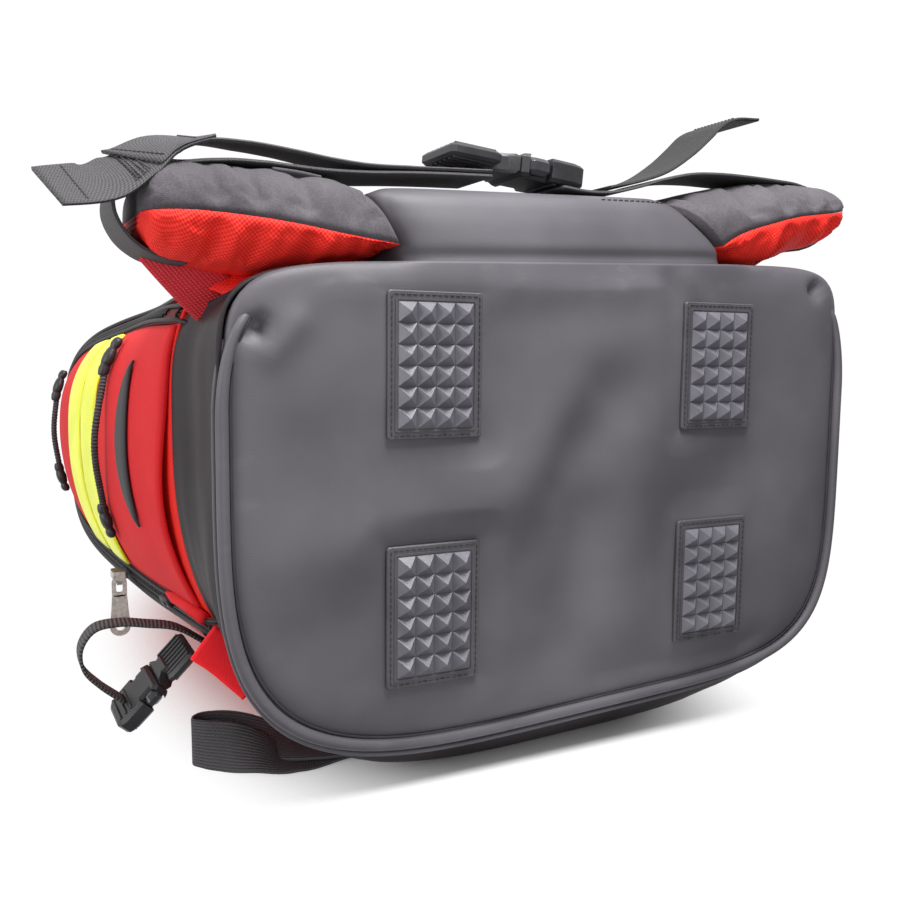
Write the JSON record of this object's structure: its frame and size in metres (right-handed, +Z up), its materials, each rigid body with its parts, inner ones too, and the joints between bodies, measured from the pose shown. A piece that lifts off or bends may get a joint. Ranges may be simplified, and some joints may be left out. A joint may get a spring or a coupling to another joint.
{
  "type": "rescue backpack",
  "caption": "Red and grey soft rescue backpack lying on its front, with a studded base, padded hip belt and side pockets, for carrying first-aid kit.",
  "frame": {"origin": "middle of the footprint, on the floor that the bag's front lies on", "axes": "+Z up from the floor to the back of the bag, +Y from the base to the top of the bag, +X to the right as seen from the base"},
  "size_m": [0.496, 0.5048, 0.3563],
  "materials": {
    "coated_cloth": "smooth coated cloth",
    "red_weave": "coarse woven cloth",
    "red_coated": "smooth coated cloth",
    "charcoal_cloth": "matt textile",
    "black_webbing": "ribbed webbing",
    "red_webbing": "ribbed webbing",
    "black_plastic": "moulded, satin",
    "stud_rubber": "moulded, satin",
    "reflective_yellow": "reflective tape",
    "zip_metal": "plated"
  },
  "bodies": {
    "bag": {"base_panel": "coated_cloth", "base_band": "coated_cloth", "base_piping": "coated_cloth", "foot_pad_1": "stud_rubber", "foot_pad_2": "stud_rubber", "foot_pad_3": "stud_rubber", "foot_pad_4": "stud_rubber", "body_wall": "red_weave", "top_panel": "red_weave", "back_panel": "charcoal_cloth", "lumbar_pad": "coated_cloth", "shoulder_strap_left": "charcoal_cloth", "shoulder_strap_right": "charcoal_cloth", "shoulder_web_left": "black_webbing", "shoulder_web_right": "black_webbing", "hip_wing_left_upper": "charcoal_cloth", "hip_wing_left_lower": "red_weave", "hip_wing_right_upper": "charcoal_cloth", "hip_wing_right_lower": "red_weave", "hip_strap_left": "black_webbing", "hip_strap_right": "black_webbing", "hip_tail_left": "black_webbing", "hip_tail_right": "black_webbing", "strap_keeper": "charcoal_cloth", "hip_buckle_prong": "black_plastic", "hip_buckle_socket": "black_plastic", "side_buckle_prong": "black_plastic", "side_buckle_socket": "black_plastic", "side_pocket_left": "red_coated", "side_pocket_right": "red_coated", "pocket_zip_left": "black_webbing", "pocket_zip_right": "black_webbing", "pocket_piping_left": "black_plastic", "pocket_piping_right": "black_plastic", "reflective_band_left": "reflective_yellow", "reflective_band_right": "reflective_yellow", "grip_cord_left_1": "black_webbing", "grip_cord_left_2": "black_webbing", "grip_cord_right_1": "black_webbing", "grip_cord_right_2": "black_webbing", "grip_clip_left_1a": "black_plastic", "grip_clip_left_1b": "black_plastic", "grip_clip_left_2a": "black_plastic", "grip_clip_left_2b": "black_plastic", "grip_clip_right_1a": "black_plastic", "grip_clip_right_1b": "black_plastic", "grip_clip_right_2a": "black_plastic", "grip_clip_right_2b": "black_plastic", "side_patch": "black_plastic", "zip_slider": "zip_metal", "zip_stop": "black_plastic", "side_strap": "black_webbing", "floor_loop": "black_webbing", "red_tab_low": "red_webbing", "red_tab_high": "red_webbing", "tab_strap": "black_webbing"},
    "pull": {"zip_pull": "zip_metal"}
  },
  "joints": [
    {"name": "zip_pull_swing", "type": "hinge", "parent": "bag", "child": "pull", "pos_m": [-0.1954, -0.0439, 0.0731], "axis": [1, 0, 0], "range_deg": [-75, 75]}
  ]
}
